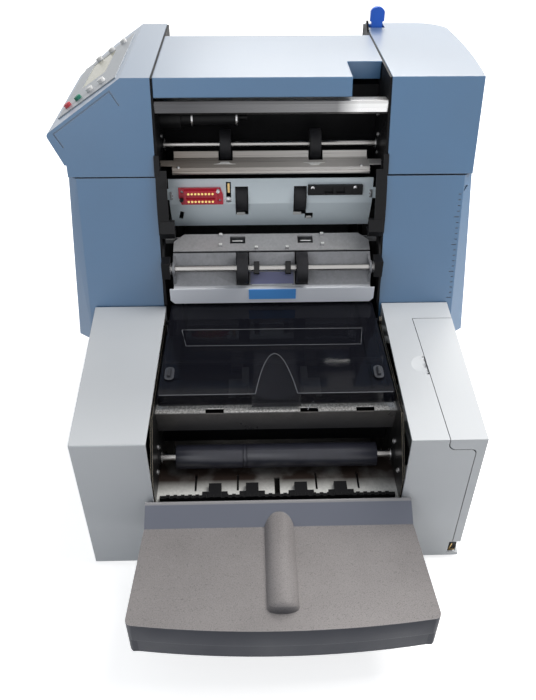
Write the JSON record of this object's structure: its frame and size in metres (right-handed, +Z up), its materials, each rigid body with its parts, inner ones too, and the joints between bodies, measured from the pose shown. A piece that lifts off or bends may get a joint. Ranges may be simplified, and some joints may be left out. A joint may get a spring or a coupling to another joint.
{
  "type": "folder inserter",
  "caption": "Desktop folder inserter: white base with exit tray, smoked envelope cover and side door, and a blue leaning tower with feed rollers, dock rails and a sloping key console.",
  "frame": {"origin": "on the table, under the middle of the machine with its exit tray", "axes": "+Z up, -Y towards the exit tray, +X towards the side door (the right for the person in front)"},
  "size_m": [0.5242, 0.696, 0.479],
  "materials": {
    "black_plastic": "black plastic",
    "blue_grip": "bright blue plastic",
    "blue_plastic": "fine textured blue-grey plastic",
    "bright_steel": "bright ground steel",
    "dark_steel": "dark coated steel",
    "display": "greenish beige display",
    "galvanised": "galvanised sheet steel, slightly worn",
    "gold": "plated contact pins",
    "grey_plastic": "speckled dark grey textured plastic",
    "key_green": "green key",
    "key_red": "red key",
    "key_white": "pale grey key",
    "pale_metal": "pale grey painted sheet",
    "pale_plastic": "pale grey plastic",
    "panel": "silver grey overlay",
    "red_plastic": "red moulded plastic",
    "rubber": "matt black rubber",
    "smoked": "smoked clear plastic",
    "steel": "plated steel",
    "tank": "milky plastic",
    "white_plastic": "fine textured off-white plastic"
  },
  "bodies": {
    "chassis": {"base_pan": "galvanised", "rubber_feet": "rubber", "left_side_frame": "steel", "right_side_frame": "steel", "left_base_cover": "white_plastic", "right_base_cover": "white_plastic", "fluid_tank": "tank", "exit_guide": "galvanised", "lower_guide": "galvanised", "finger_bar": "black_plastic", "envelope_deck": "dark_steel", "tower_left_frame": "dark_steel", "tower_right_frame": "dark_steel", "left_lower_cover": "blue_plastic", "right_lower_cover": "blue_plastic", "left_upper_cover": "blue_plastic", "right_upper_cover": "blue_plastic", "top_cover": "blue_plastic", "rear_panel": "galvanised", "power_inlet": "black_plastic", "cross_bar": "bright_steel", "feed_motor": "black_plastic", "fold_plate": "dark_steel", "upper_guide": "bright_steel", "connector_plate": "pale_metal", "dock_connector": "red_plastic", "connector_pins": "gold", "sensor_bar": "black_plastic", "feed_deck": "galvanised", "left_dock_rail": "black_plastic", "right_dock_rail": "black_plastic", "console_panel": "panel", "display_window": "display"},
    "side_door": {"side_door": "white_plastic"},
    "exit_tray": {"exit_tray": "grey_plastic"},
    "exit_roller": {"exit_shaft": "bright_steel", "exit_sleeve": "rubber"},
    "transfer_roller": {"transfer_shaft": "black_plastic"},
    "envelope_roller": {"envelope_shaft": "dark_steel"},
    "left_envelope_guide": {"left_envelope_guide": "pale_plastic"},
    "right_envelope_guide": {"right_envelope_guide": "pale_plastic"},
    "smoked_cover": {"smoked_cover": "smoked"},
    "upper_roller": {"upper_shaft": "bright_steel", "upper_tyres": "rubber"},
    "middle_roller": {"middle_shaft": "rubber"},
    "jam_flap": {"jam_flap": "galvanised", "flap_grip": "blue_grip"},
    "pinch_roller": {"pinch_shaft": "bright_steel", "pinch_tyres": "rubber"},
    "fold_roller_low": {"fold_roller_low": "steel"},
    "fold_roller_mid": {"fold_roller_mid": "steel"},
    "fold_roller_top": {"fold_roller_top": "steel"},
    "release_lever": {"release_lever": "blue_grip"},
    "near_key_1": {"near_key_1": "key_white"},
    "near_key_2": {"near_key_2": "key_white"},
    "start_key": {"start_key": "key_green"},
    "stop_key": {"stop_key": "key_red"},
    "far_key_1": {"far_key_1": "key_white"},
    "far_key_2": {"far_key_2": "key_white"},
    "far_key_3": {"far_key_3": "key_white"}
  },
  "joints": [
    {"name": "side_door_hinge", "type": "hinge", "parent": "chassis", "child": "side_door", "pos_m": [0.206, -0.199, 0.025], "axis": [0.0493, 0.9988, 0], "range_deg": [0, 75]},
    {"name": "exit_tray_slide", "type": "slide", "parent": "chassis", "child": "exit_tray", "axis": [0, -1, 0], "range_m": [0, 0.045]},
    {"name": "smoked_cover_hinge", "type": "hinge", "parent": "chassis", "child": "smoked_cover", "pos_m": [0, 0.019, 0.187], "axis": [-1, 0, 0], "range_deg": [0, 40]},
    {"name": "jam_flap_hinge", "type": "hinge", "parent": "chassis", "child": "jam_flap", "pos_m": [0, 0.044, 0.249], "axis": [-1, 0, 0], "range_deg": [0, 12]},
    {"name": "release_lever_hinge", "type": "hinge", "parent": "chassis", "child": "release_lever", "pos_m": [0.152, 0.329, 0.434], "axis": [-1, 0, 0], "range_deg": [0, 18], "stiffness_Nm_per_rad": 0.15, "springref_deg": -11.46},
    {"name": "exit_roller_spin", "type": "hinge", "parent": "chassis", "child": "exit_roller", "pos_m": [0, -0.137, 0.112], "axis": [1, 0, 0], "continuous": true},
    {"name": "transfer_roller_spin", "type": "hinge", "parent": "chassis", "child": "transfer_roller", "pos_m": [0, -0.104, 0.161], "axis": [1, 0, 0], "continuous": true},
    {"name": "envelope_roller_spin", "type": "hinge", "parent": "chassis", "child": "envelope_roller", "pos_m": [0, -0.039, 0.17], "axis": [1, 0, 0], "continuous": true},
    {"name": "upper_roller_spin", "type": "hinge", "parent": "chassis", "child": "upper_roller", "pos_m": [0, 0.14869, 0.363], "axis": [1, 0, 0], "continuous": true},
    {"name": "middle_roller_spin", "type": "hinge", "parent": "chassis", "child": "middle_roller", "pos_m": [0, 0.11864, 0.308], "axis": [1, 0, 0], "continuous": true},
    {"name": "pinch_roller_spin", "type": "hinge", "parent": "chassis", "child": "pinch_roller", "pos_m": [0, 0.044, 0.249], "axis": [1, 0, 0], "continuous": true},
    {"name": "fold_roller_low_spin", "type": "hinge", "parent": "chassis", "child": "fold_roller_low", "pos_m": [0, 0.21169, 0.267], "axis": [1, 0, 0], "continuous": true},
    {"name": "fold_roller_mid_spin", "type": "hinge", "parent": "chassis", "child": "fold_roller_mid", "pos_m": [0, 0.21169, 0.2976], "axis": [1, 0, 0], "continuous": true},
    {"name": "fold_roller_top_spin", "type": "hinge", "parent": "chassis", "child": "fold_roller_top", "pos_m": [0, 0.21169, 0.3282], "axis": [1, 0, 0], "continuous": true},
    {"name": "right_envelope_guide_slide", "type": "slide", "parent": "chassis", "child": "right_envelope_guide", "axis": [1, 0, 0], "range_m": [0, 0.058]},
    {"name": "left_envelope_guide_slide", "type": "slide", "parent": "chassis", "child": "left_envelope_guide", "axis": [-1, 0, 0], "range_m": [0, 0.058]},
    {"name": "near_key_1_press", "type": "slide", "parent": "chassis", "child": "near_key_1", "axis": [0.5446, 0, -0.8387], "range_m": [0, 0.0012], "stiffness_N_per_m": 900, "springref_m": -0.0006},
    {"name": "near_key_2_press", "type": "slide", "parent": "chassis", "child": "near_key_2", "axis": [0.5446, 0, -0.8387], "range_m": [0, 0.0012], "stiffness_N_per_m": 900, "springref_m": -0.0006},
    {"name": "start_key_press", "type": "slide", "parent": "chassis", "child": "start_key", "axis": [0.5446, 0, -0.8387], "range_m": [0, 0.0012], "stiffness_N_per_m": 900, "springref_m": -0.0006},
    {"name": "stop_key_press", "type": "slide", "parent": "chassis", "child": "stop_key", "axis": [0.5446, 0, -0.8387], "range_m": [0, 0.0012], "stiffness_N_per_m": 900, "springref_m": -0.0006},
    {"name": "far_key_1_press", "type": "slide", "parent": "chassis", "child": "far_key_1", "axis": [0.5446, 0, -0.8387], "range_m": [0, 0.0012], "stiffness_N_per_m": 900, "springref_m": -0.0006},
    {"name": "far_key_2_press", "type": "slide", "parent": "chassis", "child": "far_key_2", "axis": [0.5446, 0, -0.8387], "range_m": [0, 0.0012], "stiffness_N_per_m": 900, "springref_m": -0.0006},
    {"name": "far_key_3_press", "type": "slide", "parent": "chassis", "child": "far_key_3", "axis": [0.5446, 0, -0.8387], "range_m": [0, 0.0012], "stiffness_N_per_m": 900, "springref_m": -0.0006}
  ],
  "couplings": [
    {"joint": "fold_roller_mid_spin", "follows": "fold_roller_low_spin", "ratio": -1},
    {"joint": "fold_roller_top_spin", "follows": "fold_roller_low_spin", "ratio": 1},
    {"joint": "left_envelope_guide_slide", "follows": "right_envelope_guide_slide", "ratio": 1}
  ]
}
